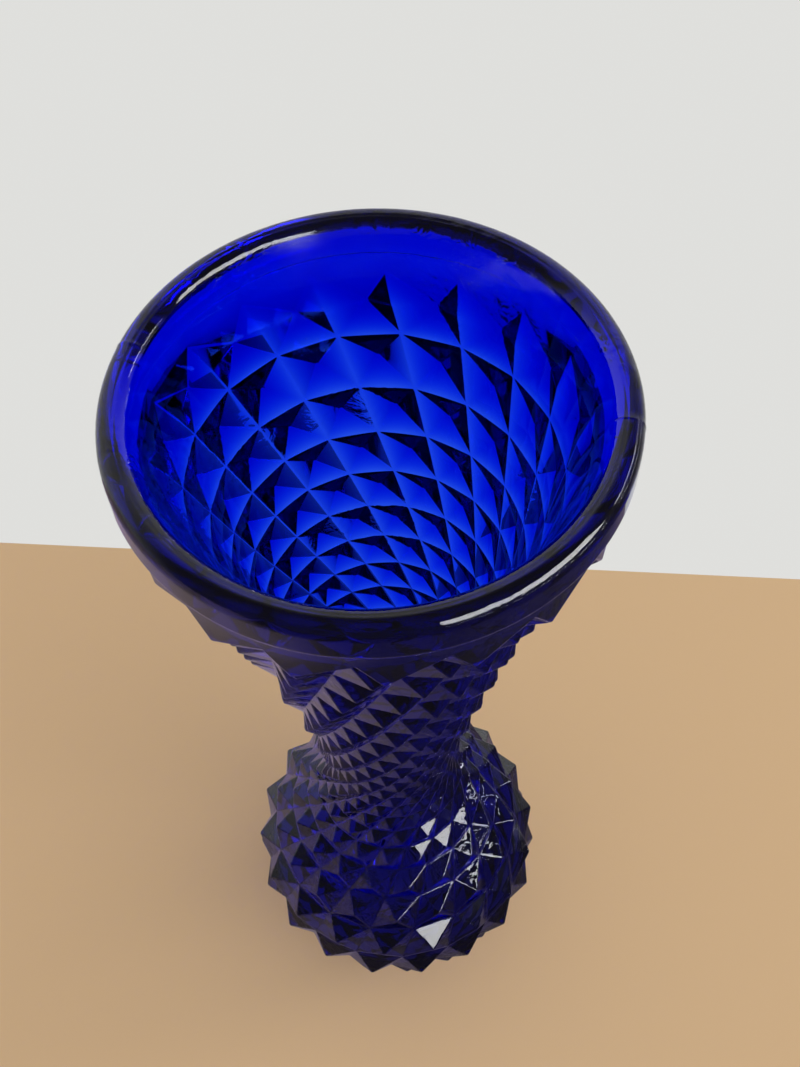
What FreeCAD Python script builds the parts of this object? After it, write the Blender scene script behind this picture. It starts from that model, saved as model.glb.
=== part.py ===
"""Pressed-glass forcing vase with a swirled diamond-point pattern, in millimetres.

The vase is one piece of glass. It stands on the XY plane with its axis on +Z. Its wall is
built in zones that meet face to face: rim, cup, neck, shoulder, bulb, bulb base and foot.
"""
import FreeCAD, Part
import math
import os
import Sketcher

V = FreeCAD.Vector

os.makedirs("parts", exist_ok=True)
doc = FreeCAD.newDocument("forcing_vase")

# Driving dimensions. Levels are heights above the surface that the vase stands on.
SIZES = {
    "rim_radius": 42.0,
    "bead_width": 5.2,
    "bead_height": 8.8,
    "bead_level": 201.5,
    "lip_angle": 45.0,
    "waist_radius": 14.0,
    "waist_level": 84.0,
    "bulb_radius": 32.5,
    "bulb_level": 32.0,
    "foot_radius": 20.0,
    "foot_height": 8.0,
    "foot_edge": 1.2,
    "recess_radius": 13.5,
    "recess_depth": 1.2,
    "wall": 5.0,
    "base_thickness": 5.2,
    "cup_end_level": 113.5,
    "neck_end_level": 63.5,
    "shoulder_end_level": 44.0,
    "bulb_end_level": 22.0,
    "overrun": 2.0,
    "columns": 18,
    "row_sideways": 3.06,
    "start_angle": 3.7,
    "row_pitch_share": 1.02,
    "first_row_extra_share": 0.15,
    "point_height_share": 0.345,
    "lip_reach_share": 0.093,
    "waist_up_reach_share": 0.12,
    "waist_down_reach_share": 0.52,
    "bulb_up_reach_share": 0.35,
    "quarter_round_share": 0.5523,
}

POINTS_PER_CURVE = 200

# Each zone under the pattern, and the size that gives the level where it ends
PATTERNED_ZONES = (
    ("cup", "cup_end_level"),
    ("neck", "neck_end_level"),
    ("shoulder", "shoulder_end_level"),
    ("bulb", "bulb_end_level"),
    ("bulb_base", "foot_height"),
)


def make_sheet():
    sheet = doc.addObject("Spreadsheet::Sheet", "sizes")
    for row, (name, value) in enumerate(SIZES.items(), start=1):
        sheet.set("A%d" % row, name)
        sheet.set("B%d" % row, str(value))
        sheet.setAlias("B%d" % row, name)
    doc.recompute()
    return sheet


sheet = make_sheet()


def size(name):
    return float(sheet.get(name))


# Places that follow from the driving dimensions

def pattern_top():
    """Level where the bead ends and the pattern starts."""
    return size("bead_level") - size("bead_height") / 2


def cup_top_radius():
    return size("rim_radius") - size("bead_width") / 2


def upper_curve(inset):
    """Meridian of the cup and neck, from the pattern's top down to the waist."""
    height = pattern_top() - size("waist_level")
    lip = math.radians(size("lip_angle"))
    top = V(cup_top_radius() - inset, 0, pattern_top())
    waist = V(size("waist_radius") - inset, 0, size("waist_level"))
    lip_reach = height * size("lip_reach_share")
    waist_reach = height * size("waist_up_reach_share")
    return bezier([
        top,
        top - V(math.sin(lip), 0, math.cos(lip)) * lip_reach,
        waist + V(0, 0, waist_reach),
        waist,
    ])


def shoulder_curve(inset):
    """Meridian from the waist out to the widest part of the bulb.

    The inner one turns out half a wall lower at each end, so the sloping wall keeps its thickness.
    """
    height = size("waist_level") - size("bulb_level")
    waist = V(size("waist_radius") - inset, 0, size("waist_level"))
    belly = V(size("bulb_radius") - inset, 0, size("bulb_level"))
    down = height * size("waist_down_reach_share") + inset / 2
    up = height * size("bulb_up_reach_share") - inset / 2
    return bezier([waist, waist - V(0, 0, down), belly + V(0, 0, up), belly])


def belly_curve():
    """Outer meridian of the lower bulb: one arc, upright at the widest level, down to the foot."""
    radius, level = size("bulb_radius"), size("bulb_level")
    foot_radius, foot_level = size("foot_radius"), size("foot_height")
    drop = level - foot_level
    centre = (radius ** 2 - foot_radius ** 2 - drop ** 2) / (2 * (radius - foot_radius))
    swing = math.atan2(drop, foot_radius - centre) / 2
    middle = V(centre + (radius - centre) * math.cos(swing), 0, level - (radius - centre) * math.sin(swing))
    return Part.Arc(V(radius, 0, level), middle, V(foot_radius, 0, foot_level))


def floor_curve():
    """Inner meridian of the lower bulb: a quarter round, down to the middle of the floor."""
    share = size("quarter_round_share")
    radius = size("bulb_radius") - size("wall")
    level, floor = size("bulb_level"), size("base_thickness")
    return bezier([
        V(radius, 0, level),
        V(radius, 0, level - (level - floor) * share),
        V(radius * share, 0, floor),
        V(0, 0, floor),
    ])


def bezier(poles):
    curve = Part.BezierCurve()
    curve.setPoles(poles)
    return curve


# The diamond-point pattern

def wall_points():
    """Points close together along the outer meridian, from the pattern's top to the foot."""
    points = []
    for curve in (upper_curve(0), shoulder_curve(0), belly_curve()):
        points += curve.toShape().discretize(Number=POINTS_PER_CURVE)
    return points


def pattern_rings():
    """Radius, level and turn of each ring groove.

    Rows are about as tall as the cells there are wide, and the first row is a little taller.
    """
    points = wall_points()
    per_radius = size("row_pitch_share") * 2 * math.pi / size("columns")
    passed = [0.0]
    for above, below in zip(points, points[1:]):
        radius = (above.x + below.x) / 2
        passed.append(passed[-1] + above.distanceToPoint(below) / (per_radius * radius))
    extra = size("first_row_extra_share")
    rows = round(passed[-1] - extra)
    row_share = passed[-1] / (rows + extra)
    rings = []
    turn = math.radians(size("start_angle"))
    for row in range(rows + 1):
        place = point_at(points, passed, row_share * (row + extra) if row else 0)
        if rings:
            turn -= size("row_sideways") * 2 / (place.x + rings[-1][0])
        rings.append((place.x, place.z, turn))
    return rings


def point_at(points, passed, target):
    for i in range(1, len(points)):
        if passed[i] >= target or i == len(points) - 1:
            share = (target - passed[i - 1]) / (passed[i] - passed[i - 1]) if passed[i] > passed[i - 1] else 0
            return points[i - 1] + (points[i] - points[i - 1]) * share


def ring_corners(ring):
    radius, level, turn = ring
    count = int(size("columns"))
    step = 2 * math.pi / count
    return [V(radius * math.cos(turn + step * i), radius * math.sin(turn + step * i), level)
            for i in range(count)]


def triangle(a, b, c):
    return Part.Face(Part.makePolygon([a, b, c, a]))


def pyramid(upper_left, upper_right, lower_left, lower_right):
    """Four facets over one cell, up to a point that stands off the cell's middle."""
    middle = (upper_left + upper_right + lower_left + lower_right) * 0.25
    outward = (lower_right - upper_left).cross(upper_right - lower_left).normalize()
    width = ((upper_right - upper_left).Length + (lower_right - lower_left).Length) / 2
    point = middle + outward * (width * size("point_height_share"))
    return [
        triangle(upper_left, upper_right, point),
        triangle(upper_right, lower_right, point),
        triangle(lower_right, lower_left, point),
        triangle(lower_left, upper_left, point),
    ]


def patterned_blank(label, rings):
    """Solid zone of the vase between its first and last ring, covered with pyramids."""
    corners = [ring_corners(ring) for ring in rings]
    faces = []
    for upper, lower in zip(corners, corners[1:]):
        for i in range(len(upper)):
            j = (i + 1) % len(upper)
            faces += pyramid(upper[i], upper[j], lower[i], lower[j])
    for ring in (corners[0], corners[-1]):
        faces.append(Part.Face(Part.makePolygon(ring + ring[:1])))
    solid = Part.makeSolid(Part.makeShell(faces))
    if solid.Volume < 0:
        solid.reverse()
    blank = doc.addObject("Part::Feature", label + "_blank")
    blank.Shape = solid
    return blank


# The smooth inside, turned about the axis

def make_cavity():
    wall = size("wall")
    upper = upper_curve(wall).toShape()
    top = V(cup_top_radius() - wall, 0, pattern_top())
    above = top + V(0, 0, size("overrun"))
    edges = [
        Part.makeLine(V(0, 0, above.z), above),
        Part.makeLine(above, top),
        upper,
        shoulder_curve(wall).toShape(),
        floor_curve().toShape(),
        Part.makeLine(V(0, 0, size("base_thickness")), V(0, 0, above.z)),
    ]
    face = Part.Face(Part.Wire(edges))
    cavity = doc.addObject("Part::Feature", "cavity")
    cavity.Shape = face.revolve(V(0, 0, 0), V(0, 0, 1), 360)
    return cavity


def make_patterned_zones(rings, cavity):
    """The zones under the pattern, each from the ring where the one above ends."""
    zones = []
    start = 0
    for name, end_level in PATTERNED_ZONES:
        end = nearest_ring(rings, size(end_level))
        zones.append(hollow(name, patterned_blank(name, rings[start:end + 1]), cavity))
        start = end
    return zones


def nearest_ring(rings, level):
    return min(range(len(rings)), key=lambda i: abs(rings[i][1] - level))


def hollow(label, blank, cavity):
    cut = doc.addObject("Part::Cut", label)
    cut.Base = blank
    cut.Tool = cavity
    return cut


# The turned zones

def origin_plane(body, role):
    return next(item for item in body.Origin.OriginFeatures if item.Role == role)


def turned_body(name):
    """Body with an empty sketch on its upright plane, to be turned about the axis."""
    body = doc.addObject("PartDesign::Body", name)
    sketch = body.newObject("Sketcher::SketchObject", name + "_outline")
    sketch.AttachmentSupport = [(origin_plane(body, "XZ_Plane"), "")]
    sketch.MapMode = "FlatFace"
    return body, sketch


def pin(sketch, edge, end, across, up):
    """Hold one end of an edge at expressions for its distance from the axis and its level."""
    place = sketch.getPoint(edge, end)
    for kind, now, expression in (("DistanceX", place.x, across), ("DistanceY", place.y, up)):
        if expression:
            index = sketch.addConstraint(Sketcher.Constraint(kind, -1, 1, edge, end, now))
            sketch.setExpression("Constraints[%d]" % index, expression)


def revolve(body, sketch):
    turn = body.newObject("PartDesign::Revolution", body.Name + "_turn")
    turn.Profile = sketch
    turn.ReferenceAxis = (sketch, ["V_Axis"])
    turn.Angle = 360
    return turn


def join(sketch, first, second):
    sketch.addConstraint(Sketcher.Constraint("Coincident", first, 2, second, 1))


def make_rim():
    """Thick rounded bead on a short plain collar."""
    body, sketch = turned_body("rim")
    outside = size("rim_radius")
    round_radius = size("bead_width") / 2
    middle = outside - round_radius
    inside = middle - round_radius
    bottom = pattern_top()
    low_centre = V(middle, bottom + round_radius, 0)
    high_centre = V(middle, size("bead_level") + size("bead_height") / 2 - round_radius, 0)
    collar = V(cup_top_radius() - size("wall"), bottom, 0)
    up = V(0, 0, 1)

    def arc(centre, start, stop):
        return Part.ArcOfCircle(Part.Circle(centre, up, round_radius), start, stop)

    base = sketch.addGeometry(Part.LineSegment(collar, V(middle, bottom, 0)))
    lower = sketch.addGeometry(arc(low_centre, -math.pi / 2, 0))
    side = sketch.addGeometry(Part.LineSegment(V(outside, low_centre.y, 0), V(outside, high_centre.y, 0)))
    upper = sketch.addGeometry(arc(high_centre, 0, math.pi))
    throat = sketch.addGeometry(Part.LineSegment(V(inside, high_centre.y, 0), collar))
    for first, second in ((base, lower), (lower, side), (side, upper), (upper, throat), (throat, base)):
        join(sketch, first, second)

    bead_middle = "sizes.rim_radius - sizes.bead_width / 2"
    bead_foot = "sizes.bead_level - sizes.bead_height / 2"
    low_round = bead_foot + " + sizes.bead_width / 2"
    high_round = "sizes.bead_level + sizes.bead_height / 2 - sizes.bead_width / 2"
    pin(sketch, base, 1, bead_middle + " - sizes.wall", bead_foot)
    pin(sketch, lower, 1, bead_middle, bead_foot)
    pin(sketch, lower, 3, bead_middle, low_round)
    pin(sketch, upper, 3, bead_middle, high_round)
    pin(sketch, side, 1, None, low_round)
    pin(sketch, side, 2, "sizes.rim_radius", high_round)
    pin(sketch, throat, 1, None, high_round)
    revolve(body, sketch)
    return body


def make_foot_blank():
    """Short round foot with a shallow recess below, so that it stands on a ring."""
    body, sketch = turned_body("foot_blank")
    top_radius = size("foot_radius") * math.cos(math.pi / size("columns"))
    corners = [
        (0, size("recess_depth")),
        (size("recess_radius") - size("recess_depth"), size("recess_depth")),
        (size("recess_radius"), 0),
        (size("foot_radius"), 0),
        (top_radius, size("foot_height")),
        (0, size("foot_height")),
    ]
    places = [
        (None, "sizes.recess_depth"),
        ("sizes.recess_radius - sizes.recess_depth", "sizes.recess_depth"),
        ("sizes.recess_radius", None),
        ("sizes.foot_radius", None),
        ("sizes.foot_radius * cos(180 deg / sizes.columns)", "sizes.foot_height"),
        (None, "sizes.foot_height"),
    ]
    points = [V(across, level, 0) for across, level in corners]
    lines = [sketch.addGeometry(Part.LineSegment(start, end))
             for start, end in zip(points, points[1:] + points[:1])]
    for first, second in zip(lines, lines[1:] + lines[:1]):
        join(sketch, first, second)
    for line, (across, level) in zip(lines, places):
        if across is None:
            sketch.addConstraint(Sketcher.Constraint("PointOnObject", line, 1, -2))
        if level is None:
            sketch.addConstraint(Sketcher.Constraint("PointOnObject", line, 1, -1))
        pin(sketch, line, 1, across, level)
    turn = revolve(body, sketch)
    doc.recompute()

    edge = outer_bottom_edge(turn.Shape)
    soft = body.newObject("PartDesign::Fillet", "foot_rounding")
    soft.Base = (turn, [edge])
    soft.setExpression("Radius", "sizes.foot_edge")
    return body


def outer_bottom_edge(shape):
    """Name of the widest edge that lies on the standing plane."""
    widest, name = 0, ""
    for number, edge in enumerate(shape.Edges, start=1):
        box = edge.BoundBox
        if box.ZMax < size("foot_edge") / 2 and box.XLength > widest:
            widest, name = box.XLength, "Edge%d" % number
    return name


# Assembly and export

def check_document():
    for item in doc.Objects:
        if "Invalid" in item.State or "Error" in item.State:
            raise RuntimeError("%s failed: %s" % (item.Label, item.State))


def export(part):
    shape = part.Shape
    if shape.isNull() or not shape.isValid():
        raise RuntimeError(part.Label + " has no valid shape")
    shape.exportStep("parts/%s.step" % part.Label)
    print("%-9s solids %d faces %d volume %.0f" % (part.Label, len(shape.Solids), len(shape.Faces), shape.Volume))


rings = pattern_rings()
cavity = make_cavity()
parts = [make_rim()]
parts += make_patterned_zones(rings, cavity)
parts.append(hollow("foot", make_foot_blank(), cavity))
doc.recompute()
check_document()
for part in parts:
    export(part)
print("columns %d rows %d" % (size("columns"), len(rings) - 1))
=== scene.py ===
"""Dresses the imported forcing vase: one body of pressed blue glass, a pale stage and the camera.

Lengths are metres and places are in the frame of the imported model: +Z is up and the vase stands on
Z = 0. The outside is pressed with rows of four-sided points that wind round the axis. The smooth
inside, the bead round the mouth, the band under it and the foot are turned. Along the outside,
places are counted in columns round the axis and in ring grooves from the band down.
"""

import math
from typing import NamedTuple

import bmesh
import bpy
from bpy.props import FloatProperty, FloatVectorProperty, IntProperty, PointerProperty
from mathutils import Matrix, Vector
from mathutils.geometry import interpolate_bezier


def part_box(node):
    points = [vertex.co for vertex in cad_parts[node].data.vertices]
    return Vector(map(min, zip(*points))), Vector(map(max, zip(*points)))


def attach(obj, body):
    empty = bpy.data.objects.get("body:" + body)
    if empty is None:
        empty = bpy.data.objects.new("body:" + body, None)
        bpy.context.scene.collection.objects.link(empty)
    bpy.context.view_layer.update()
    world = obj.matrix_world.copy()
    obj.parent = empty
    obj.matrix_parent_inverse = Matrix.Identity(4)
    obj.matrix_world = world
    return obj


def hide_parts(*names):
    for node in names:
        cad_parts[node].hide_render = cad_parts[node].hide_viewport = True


bl_info = {
    "name": "Forcing vase",
    "version": (1, 0, 0),
    "blender": (4, 5, 0),
    "location": "3D View > Sidebar > Forcing vase",
    "description": "Builds a pressed-glass forcing vase around its packed frame",
    "category": "Add Mesh",
}

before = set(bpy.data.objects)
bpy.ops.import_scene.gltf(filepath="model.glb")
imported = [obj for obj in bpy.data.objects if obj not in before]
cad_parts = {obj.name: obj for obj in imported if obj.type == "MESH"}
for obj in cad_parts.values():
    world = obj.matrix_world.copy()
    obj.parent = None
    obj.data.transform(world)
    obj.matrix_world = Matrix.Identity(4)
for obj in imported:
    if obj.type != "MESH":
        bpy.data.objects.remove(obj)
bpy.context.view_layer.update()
NODES = ("rim", "cup", "neck", "shoulder", "bulb", "bulb_base", "foot")
RIM_LOW, RIM_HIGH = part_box("rim")
FOOT_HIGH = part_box("foot")[1]
MM = 0.001
FULL_TURN = 2 * math.pi

# Shares of a stretch's height that its curve's handles reach
LIP_REACH_SHARE = 0.093
INNER_LIP_REACH_SHARE = 0.2
WAIST_UP_REACH_SHARE = 0.12
WAIST_DOWN_REACH_SHARE = 0.52
BULB_UP_REACH_SHARE = 0.35
THROAT_REACH_SHARE = 0.35
QUARTER_ROUND_SHARE = 0.5523

# Steps of the turned surfaces
STEPS_PER_COLUMN = 8
RING_STEPS = 200
BEAD_STEPS = 14
THROAT_STEPS = 6
CUP_STEPS = 64
SHOULDER_STEPS = 40
FLOOR_STEPS = 24
EDGE_STEPS = 5

# A place nearer to the axis than this is on it, and vertices nearer to each other than this are one
AXIS_DISTANCE = MM / 1000
MERGE_DISTANCE = MM / 100

# The points' edges are softened where they turn more than the first angle, and the other edges stay
# crisp where they turn more than the second
SOFTENED_ANGLE = math.radians(12)
CORNER_ANGLE = math.radians(40)
EDGE_SEGMENTS = 2
FACET_WEIGHT = 80


# Sizes and colours that a user would change

def length(name, default, description):
    return FloatProperty(name=name, default=default, description=description, unit="LENGTH",
                         precision=4)


def angle(name, default, description):
    return FloatProperty(name=name, default=math.radians(default), description=description,
                         unit="ROTATION")


def ratio(name, default, description, low=0):
    return FloatProperty(name=name, default=default, description=description, min=low)


def colour(name, default, description):
    return FloatVectorProperty(name=name, default=default, description=description,
                               subtype="COLOR", size=len(default), min=0, max=1)


class VaseSizes(bpy.types.PropertyGroup):
    """Sizes of the glass"""
    rim_radius: length("Rim radius", RIM_HIGH.x, "Outside of the bead")
    rim_top: length("Rim top", RIM_HIGH.z, "Level of the bead's top")
    rim_bottom: length("Rim bottom", RIM_LOW.z, "Level where the bead's rounding meets the cup's wall")
    bead_width: length("Bead width", 5.2 * MM, "Thickness of the bead across the wall")
    lip_angle: angle("Lip angle", 45, "Slope of the cup's wall under the bead, from upright")
    waist_radius: length("Waist radius", 14 * MM, "Narrowest place, in the grooves")
    waist_level: length("Waist level", 84 * MM, "Level of the narrowest place")
    bulb_radius: length("Bulb radius", 32.5 * MM, "Widest place of the bulb, in the grooves")
    bulb_level: length("Bulb level", 32 * MM, "Level of the bulb's widest place")
    foot_radius: length("Foot radius", FOOT_HIGH.x, "Outside of the foot")
    foot_height: length("Foot height", FOOT_HIGH.z, "Level where the points end")
    foot_edge: length("Foot edge", 1.2 * MM, "Rounding of the foot's lower edge")
    recess_radius: length("Recess radius", 13.5 * MM, "Inside of the ring that the vase stands on")
    recess_depth: length("Recess depth", 1.2 * MM, "Height of the recess under the foot")
    wall: length("Wall", 5 * MM, "Glass between the grooves and the smooth inside")
    neck_wall: length("Neck wall", 3 * MM, "The same at the narrowest place")
    inner_lip_angle: angle("Inner lip angle", 18, "Slope of the inside under the bead, from upright")
    throat_angle: angle("Throat angle", 24, "Slope where the bead's rounding ends inside, from upright")
    base_thickness: length("Base thickness", 5.2 * MM, "Glass under the middle of the bulb's floor")


class PatternSizes(bpy.types.PropertyGroup):
    """Sizes of the pressed points"""
    columns: IntProperty(name="Columns", default=18, min=3, description="Columns of points round it")
    row_sideways: length("Row sideways", 3.06 * MM, "How far each row is shifted round the vase")
    start_angle: angle("Start angle", 3.7, "Turn of the first column's groove under the bead")
    row_pitch: ratio("Row pitch", 1.02, "Height of a row for each width of its cells")
    first_row_extra: ratio("First row extra", 0.15, "Part of a row that the first one is taller by")
    point_height: ratio("Point height", 0.345, "Height of a point for each width of its cell")
    first_point_height: ratio("First point height", 0.416, "The same in the row under the band")
    first_dip: ratio("First dip", 0.45, "Part of the first row's height where its grooves get deep")
    first_point_lift: ratio("First point lift", 0.252, "Lean of that row's points up, for their height")
    first_point_shift: ratio("First point shift", 0.370, "Their lean against the turn, for their height")
    band_radius: length("Band radius", 40.2 * MM, "Outside of the plain band under the bead")
    band_height: length("Band height", 4 * MM, "Plain band between the bead and the first grooves")
    edge_rounding: length("Edge rounding", 0.32 * MM, "Width of the softened ridges and grooves")


class MouldMarks(bpy.types.PropertyGroup):
    """Marks that the mould left on the bead"""
    left_seam: angle("Left seam", 160, "Place of the seam on the left, from +X towards +Y")
    right_seam: angle("Right seam", 349, "Place of the seam on the right, from +X towards +Y")
    seam_height: length("Seam height", 0.1 * MM, "How far the seams stand out of the bead")
    seam_width: length("Seam width", 0.7 * MM, "Width of each seam")
    joint_height: length("Joint height", 0.3 * MM, "How far the joint line under the bead stands out")
    joint_width: length("Joint width", 0.7 * MM, "Width of the joint line")
    line_depth: length("Line depth", 0.07 * MM, "Depth of the fine line round the bead's top")
    line_angle: angle("Line angle", 103, "Place of the fine line round the bead, from straight outwards")


class GlassLook(bpy.types.PropertyGroup):
    """Colour and surface of the glass"""
    tint: colour("Tint", (0.0, 0.37, 0.953), "Colour that the glass lets through best")
    density: ratio("Density", 1500, "Strength of the tint in each metre")
    refraction: ratio("Refraction", 1.52, "Refractive index of the glass", low=1)
    wave_scale: ratio("Wave scale", 40, "Faint waves and streaks in each metre")
    wrinkle_scale: ratio("Wrinkle scale", 240, "Chill wrinkles in each metre")
    wrinkle_amount: ratio("Wrinkle amount", 1.6, "Height of the wrinkles for the height of the waves")
    smudge_scale: ratio("Smudge scale", 60, "Smudges in each metre")
    clean_roughness: ratio("Clean roughness", 0.02, "Roughness of the clean glass")
    smudged_roughness: ratio("Smudged roughness", 0.12, "Roughness of the smudges")


# Outlines, as points with x for the distance from the axis and y for the level

def point(across, level):
    return Vector((across, level))


def slope(turned):
    """One step along a wall that rises outwards at that angle from upright."""
    return point(math.sin(turned), math.cos(turned))


def bezier(poles, steps):
    return interpolate_bezier(*poles, steps + 1)


def arc(centre, radius, start, end, steps):
    """Points on an arc, at angles counted from straight outwards towards straight up."""
    angles = [start + (end - start) * i / steps for i in range(steps + 1)]
    return [centre + radius * point(math.cos(a), math.sin(a)) for a in angles]


def cup_top_radius(vase):
    """Distance of the bead's middle from the axis, where the cup's wall meets the bead."""
    return vase.rim_radius - vase.bead_width / 2


def cup_curve(vase, steps):
    """Outer wall of the cup and neck, in the grooves, from under the bead down to the waist."""
    height = vase.rim_bottom - vase.waist_level
    top = point(cup_top_radius(vase), vase.rim_bottom)
    waist = point(vase.waist_radius, vase.waist_level)
    lip = slope(vase.lip_angle) * height * LIP_REACH_SHARE
    return bezier([top, top - lip, waist + point(0, height * WAIST_UP_REACH_SHARE), waist], steps)


def inner_cup_curve(vase, steps):
    """Smooth inside of the cup and neck, with a thinner wall towards the waist."""
    height = vase.rim_bottom - vase.waist_level
    top = point(cup_top_radius(vase) - vase.wall, vase.rim_bottom)
    waist = point(vase.waist_radius - vase.neck_wall, vase.waist_level)
    lip = slope(vase.inner_lip_angle) * height * INNER_LIP_REACH_SHARE
    return bezier([top, top - lip, waist + point(0, height * WAIST_UP_REACH_SHARE), waist], steps)


def shoulder_curve(vase, waist_inset, belly_inset, steps):
    """Wall from the waist out to the widest place of the bulb."""
    height = vase.waist_level - vase.bulb_level
    waist = point(vase.waist_radius - waist_inset, vase.waist_level)
    belly = point(vase.bulb_radius - belly_inset, vase.bulb_level)
    down = point(0, height * WAIST_DOWN_REACH_SHARE + belly_inset / 2)
    up = point(0, height * BULB_UP_REACH_SHARE - belly_inset / 2)
    return bezier([waist, waist - down, belly + up, belly], steps)


def belly_curve(vase, steps):
    """Outside of the lower bulb: one arc, upright at the widest level, down to the foot."""
    drop = vase.bulb_level - vase.foot_height
    middle = (vase.bulb_radius ** 2 - vase.foot_radius ** 2 - drop ** 2) / (
        2 * (vase.bulb_radius - vase.foot_radius))
    swing = math.atan2(drop, vase.foot_radius - middle)
    return arc(point(middle, vase.bulb_level), vase.bulb_radius - middle, 0, -swing, steps)


def bead_outline(vase, pattern, marks):
    """The joint line on the band, then the underside, outside and top of the bead, to the throat."""
    radius = vase.bead_width / 2
    middle = cup_top_radius(vase)
    low = point(middle, vase.rim_bottom + radius)
    high = point(middle, vase.rim_top - radius)
    over = arc(high, radius, 0, math.pi - vase.throat_angle, 2 * BEAD_STEPS)
    line = round(marks.line_angle / (math.pi - vase.throat_angle) * 2 * BEAD_STEPS)
    over[line] = over[line] + (high - over[line]).normalized() * marks.line_depth
    band = -math.acos((pattern.band_radius - middle) / radius)
    under = arc(low, radius, band, 0, BEAD_STEPS)
    joint = [
        under[0] - point(0, marks.joint_width),
        under[0] - point(-marks.joint_height, marks.joint_width / 2),
    ]
    return joint + under + over


def throat_curve(vase):
    """Smooth inside behind the bead, from the end of its rounding down to the cup."""
    radius = vase.bead_width / 2
    high = point(cup_top_radius(vase), vase.rim_top - radius)
    start = high + radius * point(-math.cos(vase.throat_angle), math.sin(vase.throat_angle))
    end = point(cup_top_radius(vase) - vase.wall, vase.rim_bottom)
    reach = (start - end).length * THROAT_REACH_SHARE
    down = slope(vase.throat_angle) * reach
    up = slope(vase.inner_lip_angle) * reach
    return bezier([start, start - down, end + up, end], THROAT_STEPS)


def floor_curve(vase):
    """Inside of the lower bulb: a quarter round, down to the middle of its floor."""
    radius, level, floor = vase.bulb_radius - vase.wall, vase.bulb_level, vase.base_thickness
    drop = (level - floor) * QUARTER_ROUND_SHARE
    poles = [
        point(radius, level),
        point(radius, level - drop),
        point(radius * QUARTER_ROUND_SHARE, floor),
        point(0, floor),
    ]
    return bezier(poles, FLOOR_STEPS)


def inner_outline(vase):
    """From the bead down the smooth inside, to the middle of the bulb's floor."""
    curves = [
        throat_curve(vase),
        inner_cup_curve(vase, CUP_STEPS),
        shoulder_curve(vase, vase.neck_wall, vase.wall, SHOULDER_STEPS),
        floor_curve(vase),
    ]
    outline = []
    for curve in curves:
        outline += curve[1:]
    return outline


def foot_outline(vase):
    """From under the last points down the foot, across the standing ring, to the recess's middle."""
    edge, depth = vase.foot_edge, vase.recess_depth
    neck = point(vase.foot_radius - edge / 2, vase.foot_height - edge / 2)
    side = point(vase.foot_radius, vase.foot_height / 2)
    corner = arc(point(vase.foot_radius - edge, edge), edge, 0, -math.pi / 2, EDGE_STEPS)
    recess = bezier([
        point(vase.recess_radius, 0),
        point(vase.recess_radius - depth, 0),
        point(vase.recess_radius - depth, depth),
        point(vase.recess_radius - 2 * depth, depth),
    ], EDGE_STEPS)
    return [neck, side] + corner + recess + [point(0, depth)]


# The ring grooves and columns of the pattern

class Ring(NamedTuple):
    """A ring round the axis: its radius, its level and its turn at the first column's groove"""
    radius: float
    level: float
    turn: float


def pattern_rings(vase, pattern):
    """The ring grooves along the wall, with rows as tall as their cells are wide."""
    wall = cup_curve(vase, RING_STEPS) + shoulder_curve(vase, 0, 0, RING_STEPS)
    wall += belly_curve(vase, RING_STEPS)
    per_radius = pattern.row_pitch * FULL_TURN / pattern.columns
    passed = [0.0]
    for above, below in zip(wall, wall[1:]):
        row_height = per_radius * (above.x + below.x) / 2
        passed.append(passed[-1] + (above - below).length / row_height)
    extra = pattern.first_row_extra
    rows = round(passed[-1] - extra)
    row_share = passed[-1] / (rows + extra)
    rings = []
    turn = pattern.start_angle
    for row in range(rows + 1):
        place = point_at(wall, passed, row_share * (row + extra) if row else 0)
        if rings:
            turn -= pattern.row_sideways * 2 / (place.x + rings[-1].radius)
        rings.append(Ring(place.x, place.y, turn))
    return rings


def point_at(wall, passed, target):
    """The point of the wall where that many rows have passed."""
    for i in range(1, len(wall)):
        if passed[i] >= target and passed[i] > passed[i - 1]:
            return wall[i - 1].lerp(wall[i], (target - passed[i - 1]) / (passed[i] - passed[i - 1]))
    return wall[-1]


def band_ring(vase, pattern):
    """Where the grooves between the columns start, on the plain band under the bead."""
    return Ring(pattern.band_radius, vase.rim_bottom - pattern.band_height, pattern.start_angle)


def dip_ring(vase, pattern, band, below):
    """Where the first row's grooves reach their full depth, between the band and the ring below."""
    level = band.level + (below.level - band.level) * pattern.first_dip
    turn = band.turn + (below.turn - band.turn) * pattern.first_dip
    nearest = min(cup_curve(vase, RING_STEPS), key=lambda place: abs(place.y - level))
    return Ring(nearest.x, level, turn)


# The body's mesh

def on_ring(radius, level, turn):
    return Vector((radius * math.cos(turn), radius * math.sin(turn), level))


def ring_nodes(body, ring, columns):
    """One vertex of the ring in each column's groove."""
    step = FULL_TURN / columns
    turns = [ring.turn + step * i for i in range(columns)]
    return [body.verts.new(on_ring(ring.radius, ring.level, turn)) for turn in turns]


def ring_turns(start, columns, seams):
    """Turns of a turned surface's vertices, and how many of them come before each column.

    The seams give half a seam's width for the turn of each.
    """
    turns, firsts = [], []
    for column in range(columns):
        firsts.append(len(turns))
        low = start + FULL_TURN * column / columns
        high = low + FULL_TURN / columns
        steps = [low + (high - low) * i / STEPS_PER_COLUMN for i in range(STEPS_PER_COLUMN)]
        for seam, half_width in seams.items():
            whole = round((low - seam) / FULL_TURN) * FULL_TURN
            places = [turn + whole for turn in (seam - half_width, seam, seam + half_width)]
            steps += [turn for turn in places if low < turn < high]
        turns += sorted(steps)
    return turns, firsts + [len(turns)]


def is_seam(turn, seams):
    """Whether the turn is at the middle of a seam."""
    return any(abs(math.remainder(turn - seam, FULL_TURN)) < half_width / 2
               for seam, half_width in seams.items())


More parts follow.
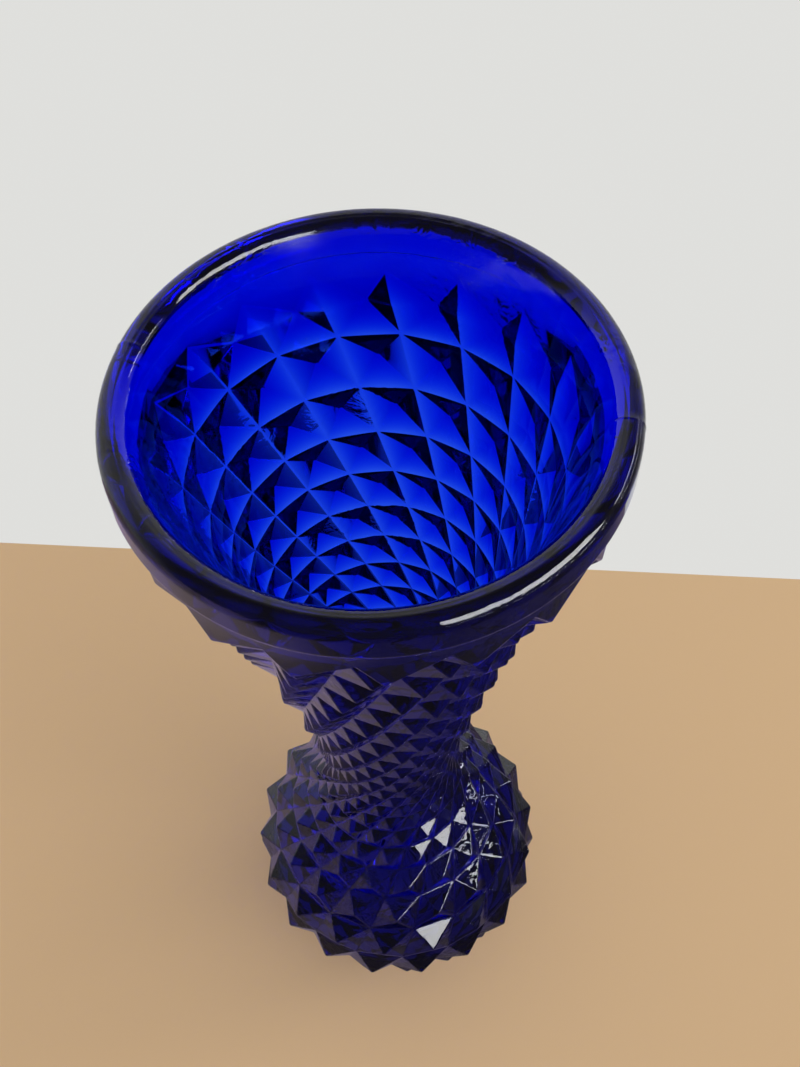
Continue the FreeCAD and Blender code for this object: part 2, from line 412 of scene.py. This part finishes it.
def add_ring(body, place, turns, seams, lift):
    """A ring of vertices, lifted at the seams, or a single vertex on the axis."""
    if place.x < AXIS_DISTANCE:
        return [body.verts.new((0, 0, place.y))]
    places = [place + lift if is_seam(turn, seams) else place for turn in turns]
    return [body.verts.new(on_ring(*spot, turn)) for spot, turn in zip(places, turns)]


def bridge(body, first, second):
    """Faces between two rings, the second of which may be a single vertex."""
    for i in range(len(first)):
        j = (i + 1) % len(first)
        if len(second) == 1:
            body.faces.new((first[i], first[j], second[0]))
        else:
            body.faces.new((first[i], first[j], second[j], second[i]))


def turn_outline(body, nodes, outline, turn, seams, lifts):
    """Turned surface that starts at a ring of nodes, one for each column, and follows the outline."""
    columns = len(nodes)
    turns, firsts = ring_turns(turn, columns, seams)
    rings = [add_ring(body, place, turns, seams, lift) for place, lift in zip(outline, lifts)]
    for column in range(columns):
        following = (column + 1) % columns
        steps = [i % len(turns) for i in range(firsts[column], firsts[column + 1] + 1)]
        body.faces.new([nodes[column], nodes[following]] + [rings[0][i] for i in reversed(steps)])
    for first, second in zip(rings, rings[1:]):
        bridge(body, first, second)


def seam_lifts(vase, marks, bead, rest):
    """How far each place of the outline is lifted at a seam: outwards on the bead, nowhere else."""
    middle = point(cup_top_radius(vase), (vase.rim_bottom + vase.rim_top) / 2)
    lifts = [(place - middle).normalized() * marks.seam_height for place in bead]
    return lifts + [point(0, 0)] * len(rest)


def bare_body(vase, pattern, marks):
    """Closed body with one flat cell for each point, and the cells marked as pressed.

    The cells of the first row have six corners, because their grooves dip on the way down.
    """
    body = bmesh.new()
    pressed = body.faces.layers.bool.new("pressed")
    first_row = body.faces.layers.bool.new("first_row")
    columns = pattern.columns
    rings = pattern_rings(vase, pattern)
    rings[0] = band_ring(vase, pattern)
    lattice = [ring_nodes(body, ring, columns) for ring in rings]
    dips = ring_nodes(body, dip_ring(vase, pattern, rings[0], rings[1]), columns)
    for upper, lower in zip(lattice, lattice[1:]):
        for i in range(columns):
            j = (i + 1) % columns
            if upper is lattice[0]:
                cell = body.faces.new((upper[i], dips[i], lower[i], lower[j], dips[j], upper[j]))
                cell[first_row] = True
            else:
                cell = body.faces.new((upper[i], lower[i], lower[j], upper[j]))
            cell[pressed] = True
    half_width = marks.seam_width / 2 / vase.rim_radius
    seams = {marks.left_seam: half_width, marks.right_seam: half_width}
    bead, inside = bead_outline(vase, pattern, marks), inner_outline(vase)
    lifts = seam_lifts(vase, marks, bead, inside)
    turn_outline(body, lattice[0], bead + inside, rings[0].turn, seams, lifts)
    foot = foot_outline(vase)
    turn_outline(body, lattice[-1], foot, rings[-1].turn, {}, [point(0, 0)] * len(foot))
    bmesh.ops.recalc_face_normals(body, faces=body.faces)
    mesh = bpy.data.meshes.new("vase_glass")
    body.to_mesh(mesh)
    body.free()
    return mesh


def check_closed(mesh):
    """Stops the build if the glass is open anywhere, because its colour is in its depth."""
    body = bmesh.new()
    body.from_mesh(mesh)
    open_edges = sum(not edge.is_manifold for edge in body.edges)
    body.free()
    if open_edges:
        raise RuntimeError(f"the glass has {open_edges} open edges")


# Small helpers for node trees

def new_socket(tree, name, kind="Float", into="INPUT", default=None):
    socket = tree.interface.new_socket(name, in_out=into, socket_type="NodeSocket" + kind)
    if default is not None:
        socket.default_value = default


def add_node(tree, kind, **settings):
    node = tree.nodes.new(kind)
    for name, value in settings.items():
        setattr(node, name, value)
    return node


def feed(tree, sockets, values):
    """Links or sets sockets in their order, and leaves those without a value alone."""
    for socket, value in zip(sockets, values):
        if isinstance(value, bpy.types.NodeSocket):
            tree.links.new(value, socket)
        elif value is not None:
            socket.default_value = value


def fill(tree, node, **inputs):
    """Links or sets a node's inputs. A key is the socket's name with _ for each space."""
    feed(tree, [node.inputs[key.replace("_", " ")] for key in inputs], inputs.values())
    return node


def maths(tree, operation, first, second=None):
    node = add_node(tree, "ShaderNodeMath", operation=operation)
    feed(tree, node.inputs, (first, second))
    return node.outputs["Value"]


def vector_maths(tree, operation, first, second):
    node = add_node(tree, "ShaderNodeVectorMath", operation=operation)
    feed(tree, node.inputs, (first, second))
    return node.outputs["Value" if operation == "DOT_PRODUCT" else "Vector"]


def fade(tree, value, start, end, low=0.0, high=1.0):
    """Goes smoothly from low to high as the value goes from the start to the end."""
    node = add_node(tree, "ShaderNodeMapRange", interpolation_type="SMOOTHSTEP")
    fill(tree, node, Value=value, From_Min=start, From_Max=end, To_Min=low, To_Max=high)
    return node.outputs["Result"]


def blend(tree, share, first, second):
    """Colour that goes from the first to the second as the share goes from 0 to 1."""
    node = add_node(tree, "ShaderNodeMix", data_type="RGBA")
    colours = [socket for socket in node.inputs if socket.type == "RGBA"]
    feed(tree, [node.inputs["Factor"], *colours], (share, first, second))
    return next(socket for socket in node.outputs if socket.type == "RGBA")


# The pressed points

def marked(tree, name, kind="BOOLEAN"):
    """Whether the place is on a cell with that mark."""
    node = add_node(tree, "GeometryNodeInputNamedAttribute", data_type=kind)
    return fill(tree, node, Name=name).outputs["Attribute"]


def point_direction(tree, start):
    """Straight out of the cell, and in the first row leaning up and against the turn as well."""
    first_row = marked(tree, "first_row", "FLOAT")
    lift = add_node(tree, "ShaderNodeCombineXYZ")
    fill(tree, lift, Z=maths(tree, "MULTIPLY", start["First point lift"], first_row))
    outwards = add_node(tree, "GeometryNodeInputNormal").outputs["Normal"]
    shift = add_node(tree, "ShaderNodeVectorMath", operation="SCALE")
    fill(tree, shift, Vector=vector_maths(tree, "CROSS_PRODUCT", outwards, (0, 0, 1)),
         Scale=maths(tree, "MULTIPLY", start["First point shift"], first_row))
    leaning = vector_maths(tree, "ADD", lift.outputs["Vector"], shift.outputs["Vector"])
    return vector_maths(tree, "ADD", outwards, leaning)


def raise_points(tree, start):
    """Raises each pressed cell to a point, whose height is a share of the cell's width."""
    height = add_node(tree, "GeometryNodeSwitch", input_type="FLOAT")
    feed(tree, height.inputs,
         (marked(tree, "first_row"), start["Point height"], start["First point height"]))
    area = add_node(tree, "GeometryNodeInputMeshFaceArea")
    width = maths(tree, "SQRT", area.outputs["Area"])
    raised = add_node(tree, "GeometryNodeExtrudeMesh", mode="FACES")
    fill(tree, raised, Mesh=start["Geometry"], Selection=marked(tree, "pressed"), Individual=True,
         Offset=point_direction(tree, start),
         Offset_Scale=maths(tree, "MULTIPLY", width, height.outputs["Output"]))
    pointed = add_node(tree, "GeometryNodeScaleElements", domain="FACE")
    fill(tree, pointed, Geometry=raised.outputs["Mesh"], Selection=raised.outputs["Top"], Scale=0.0)
    merged = add_node(tree, "GeometryNodeMergeByDistance")
    fill(tree, merged, Geometry=pointed.outputs["Geometry"], Distance=start["Merge distance"])
    return merged.outputs["Geometry"]


def mark_edges(tree, start, geometry):
    """Gives the points' edges a bevel weight, and keeps the sharp edges elsewhere crisp."""
    turned = add_node(tree, "GeometryNodeInputMeshEdgeAngle").outputs["Unsigned Angle"]
    by_points = maths(tree, "GREATER_THAN", marked(tree, "pressed", "FLOAT"), 0.0)
    softened = maths(tree, "GREATER_THAN", turned, start["Softened angle"])
    weight = maths(tree, "MULTIPLY", by_points, softened)
    corner = maths(tree, "GREATER_THAN", turned, start["Corner angle"])
    weighted = add_node(tree, "GeometryNodeStoreNamedAttribute", data_type="FLOAT", domain="EDGE")
    fill(tree, weighted, Geometry=geometry, Name="bevel_weight_edge", Value=weight)
    smooth = add_node(tree, "GeometryNodeSetShadeSmooth")
    fill(tree, smooth, Geometry=weighted.outputs["Geometry"])
    cornered = add_node(tree, "GeometryNodeSetShadeSmooth", domain="EDGE")
    fill(tree, cornered, Geometry=smooth.outputs["Geometry"], Shade_Smooth=False,
         Selection=maths(tree, "GREATER_THAN", corner, weight))
    return cornered.outputs["Geometry"]


def press_tree():
    """The tree that makes the points from the bare body's marked cells."""
    tree = bpy.data.node_groups.new("Press points", "GeometryNodeTree")
    new_socket(tree, "Geometry", "Geometry")
    new_socket(tree, "Point height")
    new_socket(tree, "First point height")
    new_socket(tree, "First point lift")
    new_socket(tree, "First point shift")
    new_socket(tree, "Softened angle", default=SOFTENED_ANGLE)
    new_socket(tree, "Corner angle", default=CORNER_ANGLE)
    new_socket(tree, "Merge distance", default=MERGE_DISTANCE)
    new_socket(tree, "Glass", "Material")
    new_socket(tree, "Geometry", "Geometry", "OUTPUT")
    start = add_node(tree, "NodeGroupInput").outputs
    real = add_node(tree, "GeometryNodeRealizeInstances")
    fill(tree, real, Geometry=mark_edges(tree, start, raise_points(tree, start)))
    glazed = add_node(tree, "GeometryNodeSetMaterial")
    fill(tree, glazed, Geometry=real.outputs["Geometry"], Material=start["Glass"])
    end = add_node(tree, "NodeGroupOutput")
    fill(tree, end, Geometry=glazed.outputs["Geometry"])
    return tree


def set_input(modifier, name, value):
    """Sets a Geometry Nodes modifier's input by its socket's identifier."""
    for item in modifier.node_group.interface.items_tree:
        if item.item_type == "SOCKET" and item.in_out == "INPUT" and item.name == name:
            modifier[item.identifier] = value
            return
    raise RuntimeError("the tree has no input named " + name)


def apply_modifiers(piece):
    """Turns the piece's evaluated shape into its plain mesh."""
    bare = piece.data
    graph = bpy.context.evaluated_depsgraph_get()
    mesh = bpy.data.meshes.new_from_object(piece.evaluated_get(graph), depsgraph=graph)
    piece.modifiers.clear()
    piece.data = mesh
    bpy.data.meshes.remove(bare)
    mesh.name = piece.name


def press(piece, pattern, material):
    """Presses the points and softens their edges, and leaves a plain mesh."""
    points = piece.modifiers.new("Points", "NODES")
    points.node_group = press_tree()
    set_input(points, "Point height", pattern.point_height)
    set_input(points, "First point height", pattern.first_point_height)
    set_input(points, "First point lift", pattern.first_point_lift)
    set_input(points, "First point shift", pattern.first_point_shift)
    set_input(points, "Glass", material)
    bevel = piece.modifiers.new("Soft edges", "BEVEL")
    bevel.limit_method = "WEIGHT"
    bevel.width = pattern.edge_rounding
    bevel.segments = EDGE_SEGMENTS
    bevel.use_clamp_overlap = False
    flat = piece.modifiers.new("Flat facets", "WEIGHTED_NORMAL")
    flat.weight = FACET_WEIGHT
    flat.keep_sharp = True
    apply_modifiers(piece)


# The glass

WHITE = (1, 1, 1, 1)
STREAK_COLOUR = (0.93, 0.95, 1.0, 1)
NOISE_DETAIL = 2.0
SMUDGE_DETAIL = 4.0
WRINKLE_DISTORTION = 1.5
# Levels of the noise between which the wrinkled patches and the smudges fade in
PATCH_START, PATCH_END = 0.5, 0.6
SMUDGE_START, SMUDGE_END = 0.45, 0.75
BUMP_STRENGTH = 0.25
BUMP_DISTANCE = 0.4 * MM


def glass_surface():
    """Group that gives the glass its faint streaks, smudges and chill wrinkles."""
    tree = bpy.data.node_groups.new("Pressed glass surface", "ShaderNodeTree")
    new_socket(tree, "Vector", "Vector")
    new_socket(tree, "Wave scale")
    new_socket(tree, "Wrinkle scale")
    new_socket(tree, "Wrinkle amount")
    new_socket(tree, "Smudge scale")
    new_socket(tree, "Clean roughness")
    new_socket(tree, "Smudged roughness")
    new_socket(tree, "Base Color", "Color", "OUTPUT")
    new_socket(tree, "Roughness", into="OUTPUT")
    new_socket(tree, "Height", into="OUTPUT")
    start = add_node(tree, "NodeGroupInput").outputs

    def noise(scale, detail=NOISE_DETAIL, distortion=0.0):
        node = add_node(tree, "ShaderNodeTexNoise")
        fill(tree, node, Vector=start["Vector"], Scale=start[scale], Detail=detail,
             Distortion=distortion)
        return node.outputs["Fac"]

    wave = noise("Wave scale")
    patch = fade(tree, noise("Wave scale", detail=0.0), PATCH_START, PATCH_END)
    wrinkle = noise("Wrinkle scale", distortion=WRINKLE_DISTORTION)
    wrinkled_patch = maths(tree, "MULTIPLY", wrinkle, patch)
    wrinkles = maths(tree, "MULTIPLY", wrinkled_patch, start["Wrinkle amount"])
    smudge = fade(tree, noise("Smudge scale", detail=SMUDGE_DETAIL), SMUDGE_START, SMUDGE_END,
                  start["Clean roughness"], start["Smudged roughness"])
    end = add_node(tree, "NodeGroupOutput")
    fill(tree, end, Base_Color=blend(tree, wave, STREAK_COLOUR, WHITE), Roughness=smudge,
         Height=maths(tree, "ADD", wave, wrinkles))
    return tree


def glass_material(look):
    """Clear blue glass: the colour is in its depth, so thick places turn nearly black."""
    material = bpy.data.materials.new("cobalt_glass")
    material.use_nodes = True
    tree = material.node_tree
    tree.nodes.clear()
    places = add_node(tree, "ShaderNodeTexCoord")
    surface = add_node(tree, "ShaderNodeGroup", node_tree=glass_surface())
    fill(tree, surface, Vector=places.outputs["Object"], Wave_scale=look.wave_scale,
         Wrinkle_scale=look.wrinkle_scale, Wrinkle_amount=look.wrinkle_amount,
         Smudge_scale=look.smudge_scale, Clean_roughness=look.clean_roughness,
         Smudged_roughness=look.smudged_roughness)
    bump = add_node(tree, "ShaderNodeBump")
    fill(tree, bump, Strength=BUMP_STRENGTH, Distance=BUMP_DISTANCE,
         Height=surface.outputs["Height"])
    shader = add_node(tree, "ShaderNodeBsdfPrincipled")
    fill(tree, shader, Base_Color=surface.outputs["Base Color"],
         Roughness=surface.outputs["Roughness"], IOR=look.refraction, Transmission_Weight=1.0,
         Normal=bump.outputs["Normal"])
    depth = add_node(tree, "ShaderNodeVolumeAbsorption")
    fill(tree, depth, Color=(*look.tint, 1), Density=look.density)
    end = add_node(tree, "ShaderNodeOutputMaterial")
    fill(tree, end, Surface=shader.outputs["BSDF"], Volume=depth.outputs["Volume"])
    return material


# The stage

# The floor ends a little way behind the vase: its far edge is that far behind the axis at the span
# to the left and at the span to the right
FLOOR_REACH = 2.0
FAR_EDGE_LEFT = 0.123
FAR_EDGE_RIGHT = 0.084
FAR_EDGE_SPAN = 0.15
FLOOR_ROUGHNESS = 0.6
FLOOR_SHEEN = 0.0
FLOOR_COLOUR = (0.88, 0.60, 0.34, 1)
# Painted shade: seen through the glass, the floor takes this darker colour
FLOOR_PAINTED_SHADE_THROUGH_GLASS = (0.24, 0.18, 0.16, 1)

# Painted reflection: in reflections the floor is painted dark in front and pale at the left, along this
# direction
LEFTWARDS = (-1.0, 1.0, 0.0)
PAINTED_REFLECTION_FRONT_COLOUR = (0.12, 0.10, 0.15, 1)
PAINTED_REFLECTION_FRONT_END = -0.14
PAINTED_REFLECTION_LEFT_COLOUR = (0.68, 0.52, 0.54, 1)
PAINTED_REFLECTION_LEFT_START = 0.11

# The background. The glass sees it white, and reflections and the glass show it with painted shade,
# dimmer away from its pale side
BACKGROUND_COLOUR = (0.74, 0.74, 0.72, 1)
BACKGROUND_LIGHT = 1.0
WORLD_LIGHT = 0.5
PALE_SIDE = (-0.35, 1.0, -0.4)
PAINTED_SHADE_COLOUR = (0.10, 0.09, 0.14, 1)
PAINTED_SHADE_START = 0.6
PAINTED_SHADE_FULL = -0.1

# Windows at the front right: degrees round the vase from +X, width, and height in reflections
WINDOWS = {"front_window": (-38, 5.7, 4.2), "side_window": (16, 2.1, 1.8)}
WINDOW_DISTANCE = 4.5
WINDOW_LEVEL = 1.01
WINDOW_HEIGHT = 1.5
WINDOW_LIGHT = 20
GLINT_BOTTOM = 0.2
GLINT_LIGHT = 32

# The camera of the photograph, with its lens in pixels of a frame 800 pixels wide, and its distance
# from the bead in rim radii
FRAME_WIDTH = 800
LENS_PIXELS = 1400
VIEW_DISTANCE = 5.17
VIEW_ELEVATION = math.radians(51.0)
VIEW_YAW = math.radians(0.9)
VIEW_PITCH = math.radians(5.0)
VIEW_ROLL = math.radians(-3.5)
NEAREST_SEEN = 10 * MM


def make_camera(vase):
    """The camera looks down at the middle of the bead, and is then turned a little."""
    aim = Vector((0, 0, (vase.rim_bottom + vase.rim_top) / 2))
    away = Vector((0, -math.cos(VIEW_ELEVATION), math.sin(VIEW_ELEVATION)))
    place = Matrix.Translation(aim + vase.rim_radius * VIEW_DISTANCE * away)
    tilt = math.pi / 2 - VIEW_ELEVATION
    for axis, turn in (("X", tilt), ("Y", -VIEW_YAW), ("X", -VIEW_PITCH), ("Z", VIEW_ROLL)):
        place = place @ Matrix.Rotation(turn, 4, axis)
    camera = bpy.data.objects.new("camera", bpy.data.cameras.new("camera"))
    bpy.context.scene.collection.objects.link(camera)
    camera.matrix_world = place
    camera.data.sensor_fit = "HORIZONTAL"
    camera.data.lens = camera.data.sensor_width * LENS_PIXELS / FRAME_WIDTH
    camera.data.clip_start = NEAREST_SEEN
    bpy.context.scene.camera = camera


def floor_material():
    """Pale floor, with painted reflections in the glass and painted shade where it is seen through the
    glass.
    """
    material = bpy.data.materials.new("pale_floor")
    material.use_nodes = True
    tree = material.node_tree
    rays = add_node(tree, "ShaderNodeLightPath").outputs
    place = add_node(tree, "ShaderNodeTexCoord").outputs["Object"]
    along = vector_maths(tree, "DOT_PRODUCT", place, LEFTWARDS)
    # Painted reflection of the surroundings: dark in front, pale at the left
    painted_reflection = blend(tree, fade(tree, along, PAINTED_REFLECTION_FRONT_END, PAINTED_REFLECTION_LEFT_START),
                      PAINTED_REFLECTION_FRONT_COLOUR, PAINTED_REFLECTION_LEFT_COLOUR)
    # Painted shade where the floor is seen through the glass
    through = blend(tree, rays["Is Transmission Ray"], FLOOR_COLOUR, FLOOR_PAINTED_SHADE_THROUGH_GLASS)
    shown = blend(tree, rays["Is Glossy Ray"], through, painted_reflection)
    fill(tree, tree.nodes["Principled BSDF"], Base_Color=shown, Roughness=FLOOR_ROUGHNESS,
         Specular_IOR_Level=FLOOR_SHEEN)
    return material


def make_floor():
    """One flat face, whose far edge is nearer at the right than at the left."""
    reach = FLOOR_REACH
    middle = (FAR_EDGE_LEFT + FAR_EDGE_RIGHT) / 2
    fall = (FAR_EDGE_LEFT - FAR_EDGE_RIGHT) / (2 * FAR_EDGE_SPAN) * reach
    corners = [
        (-reach, -reach, 0),
        (reach, -reach, 0),
        (reach, middle - fall, 0),
        (-reach, middle + fall, 0),
    ]
    mesh = bpy.data.meshes.new("floor")
    mesh.from_pydata(corners, [], [(0, 1, 2, 3)])
    mesh.materials.append(floor_material())
    floor = bpy.data.objects.new("floor", mesh)
    bpy.context.scene.collection.objects.link(floor)


def make_world():
    """Pale background for the camera and plain soft light from all sides; reflections and the glass see
    painted shade away from the pale side.
    """
    world = bpy.data.worlds.new("studio")
    bpy.context.scene.world = world
    world.use_nodes = True
    tree = world.node_tree
    tree.nodes.clear()
    rays = add_node(tree, "ShaderNodeLightPath").outputs
    direction = add_node(tree, "ShaderNodeTexCoord").outputs["Generated"]
    towards = vector_maths(tree, "DOT_PRODUCT", direction, PALE_SIDE)
    by_vase = maths(tree, "MAXIMUM", rays["Is Glossy Ray"], rays["Is Transmission Ray"])
    # Painted shade on the background, for reflections and the glass only
    painted_shade = maths(tree, "MULTIPLY", fade(tree, towards, PAINTED_SHADE_START, PAINTED_SHADE_FULL), by_vase)
    through = blend(tree, rays["Is Transmission Ray"], BACKGROUND_COLOUR, WHITE)
    background = blend(tree, painted_shade, through, PAINTED_SHADE_COLOUR)
    seen = maths(tree, "MAXIMUM", rays["Is Camera Ray"], by_vase)

    def light(colour, strength):
        node = add_node(tree, "ShaderNodeBackground")
        return fill(tree, node, Color=colour, Strength=strength).outputs["Background"]

    mix = add_node(tree, "ShaderNodeMixShader")
    feed(tree, mix.inputs, (seen, light(WHITE, WORLD_LIGHT), light(background, BACKGROUND_LIGHT)))
    end = add_node(tree, "ShaderNodeOutputWorld")
    fill(tree, end, Surface=mix.outputs["Shader"])


def make_lamp(name, bearing, level, size, light):
    """An upright lamp that faces the vase's axis, with its light given for each square metre."""
    data = bpy.data.lights.new(name, "AREA")
    data.shape = "RECTANGLE"
    data.size, data.size_y = size
    data.energy = light * size[0] * size[1]
    lamp = bpy.data.objects.new(name, data)
    bpy.context.scene.collection.objects.link(lamp)
    turn = math.radians(bearing)
    out = Vector((math.cos(turn), math.sin(turn), 0))
    lamp.location = out * WINDOW_DISTANCE + Vector((0, 0, level))
    lamp.rotation_euler = (-out).to_track_quat("-Z", "Y").to_euler()
    return lamp


def make_window(name, bearing, width, height):
    """A window: one lamp lights the vase, and a taller one is only seen in its reflections."""
    light = make_lamp(name, bearing, WINDOW_LEVEL, (width, WINDOW_HEIGHT), WINDOW_LIGHT)
    light.visible_glossy = False
    level = GLINT_BOTTOM + height / 2
    glint = make_lamp(name + "_glint", bearing, level, (width, height), GLINT_LIGHT)
    glint.visible_diffuse = False


# The operators

class VASE_OT_glass(bpy.types.Operator):
    """Build the vase: one body of pressed glass"""
    bl_idname = "vase.glass"
    bl_label = "Pressed glass body"

    def execute(self, context):
        scene = context.scene
        body = bare_body(scene.vase_sizes, scene.vase_pattern, scene.vase_marks)
        piece = bpy.data.objects.new("vase_glass", body)
        scene.collection.objects.link(piece)
        press(piece, scene.vase_pattern, glass_material(scene.vase_glass))
        check_closed(piece.data)
        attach(piece, "root")
        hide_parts(*NODES)
        return {"FINISHED"}


class VASE_OT_stage(bpy.types.Operator):
    """Build the pale floor, the soft lights and the camera"""
    bl_idname = "vase.stage"
    bl_label = "Stage and camera"

    def execute(self, context):
        context.scene.view_settings.view_transform = "Standard"
        make_camera(context.scene.vase_sizes)
        make_floor()
        make_world()
        for name, (bearing, width, height) in WINDOWS.items():
            make_window(name, bearing, width, height)
        return {"FINISHED"}


class VIEW3D_PT_forcing_vase(bpy.types.Panel):
    """Sizes, looks and the steps that build the vase"""
    bl_label = "Forcing vase"
    bl_space_type = "VIEW_3D"
    bl_region_type = "UI"
    bl_category = "Forcing vase"

    def draw(self, context):
        layout = self.layout
        for group in (getattr(context.scene, name) for name in GROUPS):
            box = layout.box()
            for name in group.bl_rna.properties.keys():
                if name not in ("rna_type", "name"):
                    box.prop(group, name)
        for operator in OPERATORS:
            layout.operator(operator.bl_idname)


GROUPS = {
    "vase_sizes": VaseSizes,
    "vase_pattern": PatternSizes,
    "vase_marks": MouldMarks,
    "vase_glass": GlassLook,
}
OPERATORS = (VASE_OT_glass, VASE_OT_stage)
CLASSES = (*GROUPS.values(), *OPERATORS, VIEW3D_PT_forcing_vase)


def register():
    for item in CLASSES:
        bpy.utils.register_class(item)
    for name, group in GROUPS.items():
        setattr(bpy.types.Scene, name, PointerProperty(type=group))


def unregister():
    for name in GROUPS:
        delattr(bpy.types.Scene, name)
    for item in reversed(CLASSES):
        bpy.utils.unregister_class(item)


def main():
    register()
    bpy.ops.vase.stage()
    bpy.ops.vase.glass()


if __name__ == "__main__":
    main()
